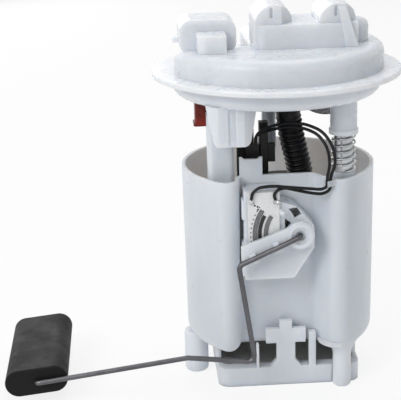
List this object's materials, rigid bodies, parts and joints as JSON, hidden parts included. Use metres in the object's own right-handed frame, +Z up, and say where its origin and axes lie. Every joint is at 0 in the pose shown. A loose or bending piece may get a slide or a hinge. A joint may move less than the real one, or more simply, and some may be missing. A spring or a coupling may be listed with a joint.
{
  "type": "fuel pump module",
  "caption": "In-tank fuel pump module: swirl pot with electric pump, sprung tank flange with fuel pipes and connector, and float-arm level sender.",
  "frame": {"origin": "middle of the base tray's flat underside, under the swirl pot's axis", "axes": "+Z up along the pot's axis; -Y is the front, where the level sender is; the sprung guide rod stands on the +X side and the float hangs on the -X side"},
  "size_m": [0.1988, 0.121, 0.1885],
  "materials": {
    "white_plastic": "moulded acetal, bluish white",
    "flange_plastic": "moulded acetal, bluish white, slightly glossy",
    "black_plastic": "moulded nylon",
    "brown_plastic": "moulded red-brown polyester",
    "black_rubber": "fuel-resistant rubber",
    "hose_black": "corrugated nylon hose",
    "braid_black": "braided sleeve",
    "wire_black": "insulated wire",
    "float_foam": "nitrile foam, fine-pored",
    "wire_steel": "stainless wire, dark reflections",
    "spring_steel": "stainless spring wire",
    "steel": "plain steel",
    "tin": "tinned contacts",
    "zinc_can": "grey phosphated sheet steel",
    "copper": "copper segments",
    "carbon": "carbon",
    "ferrite": "ferrite",
    "ceramic": "fired ceramic, speckled",
    "ink_grey": "silver-palladium tracks, dull",
    "ink_black": "resistor ink",
    "mesh_white": "woven nylon strainer"
  },
  "bodies": {
    "reservoir": {"reservoir_pot": "white_plastic", "guide_column": "white_plastic", "base_tray": "white_plastic", "strainer_mesh": "mesh_white", "pump_case": "steel", "pump_inlet_cover": "black_plastic", "pump_plate": "black_plastic", "pump_bushes": "copper", "pump_magnets": "ferrite", "pump_end_cap": "black_plastic", "pump_brushes": "carbon", "brush_springs": "spring_steel", "pump_terminals": "tin", "pump_cushion": "black_rubber", "pump_holder": "black_plastic", "pump_connector": "black_plastic", "pump_leads": "wire_black", "sender_wire_a": "wire_black", "sender_wire_b": "wire_black", "sender_frame": "white_plastic", "resistor_card": "ceramic", "resistor_tracks": "ink_grey", "resistor_ink": "ink_black", "sender_terminals": "tin"},
    "flange": {"flange_cap": "flange_plastic", "connector_terminals": "tin", "internal_plug": "brown_plastic", "return_pipe": "white_plastic", "guide_rod": "steel", "stop_clip": "steel", "guide_spring": "spring_steel", "corrugated_hose": "hose_black", "harness_sleeve": "braid_black", "regulator_can": "zinc_can", "regulator_diaphragm": "black_rubber", "regulator_spring": "spring_steel", "regulator_bracket": "white_plastic", "vent_cage": "white_plastic"},
    "level_arm": {"arm_lever": "white_plastic", "wiper": "tin", "float_wire": "wire_steel", "float_retainer": "steel"},
    "float": {"float": "float_foam"},
    "pump_rotor": {"impeller": "carbon", "pump_shaft": "steel", "armature": "ferrite", "commutator": "copper"},
    "inlet_valve": {"inlet_valve": "black_rubber"},
    "vent_ball": {"vent_ball": "white_plastic"}
  },
  "joints": [
    {"name": "flange_slide", "type": "slide", "parent": "reservoir", "child": "flange", "axis": [0, 0, -1], "range_m": [0, 0.012], "stiffness_N_per_m": 1500, "springref_m": -0.01, "deforming": ["guide_spring", "corrugated_hose", "harness_sleeve"]},
    {"name": "level_arm_pivot", "type": "hinge", "parent": "reservoir", "child": "level_arm", "pos_m": [0.006, -0.04, 0.0824], "axis": [0, 1, 0], "range_deg": [0, 44]},
    {"name": "float_swivel", "type": "hinge", "parent": "level_arm", "child": "float", "pos_m": [-0.123, -0.03, 0.0138], "axis": [0, 1, 0], "range_deg": [-45, 45]},
    {"name": "pump_spin", "type": "hinge", "parent": "reservoir", "child": "pump_rotor", "pos_m": [0.004, 0.009, 0.05], "axis": [0, 0, 1], "continuous": true},
    {"name": "inlet_valve_lift", "type": "slide", "parent": "reservoir", "child": "inlet_valve", "axis": [0, 0, 1], "range_m": [0, 0.002]},
    {"name": "vent_ball_lift", "type": "slide", "parent": "flange", "child": "vent_ball", "axis": [0, 0, 1], "range_m": [0, 0.0055]}
  ]
}
